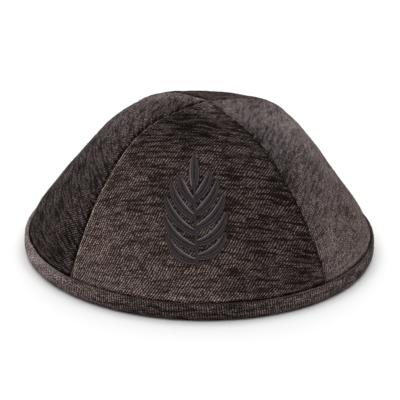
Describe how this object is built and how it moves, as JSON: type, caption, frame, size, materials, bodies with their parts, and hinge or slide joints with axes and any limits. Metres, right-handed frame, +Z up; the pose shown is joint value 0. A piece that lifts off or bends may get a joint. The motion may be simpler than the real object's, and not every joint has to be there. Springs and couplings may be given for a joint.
{
  "type": "embroidered kippah",
  "caption": "Domed skullcap sewn from gores of dark chenille cloth, with a folded binding round its rim and a raised tone-on-tone embroidered sprig on its front, hollow for a head.",
  "frame": {"origin": "centre of the rim on the surface that the cap rests on", "axes": "+Z up through the crown, -Y out through the embroidered front panel"},
  "size_m": [0.18, 0.18, 0.08],
  "materials": {
    "chenille_cloth": "mottled dark taupe chenille tweed, soft nap",
    "binding_cloth": "the same chenille cloth, cut across and folded over the rim",
    "satin_thread": "plum-grey satin stitch, slightly glossy"
  },
  "bodies": {
    "root": {"front_panel": "chenille_cloth", "right_panel": "chenille_cloth", "back_panel": "chenille_cloth", "left_panel": "chenille_cloth", "rim_binding": "binding_cloth", "embroidered_sprig": "satin_thread"}
  },
  "joints": []
}
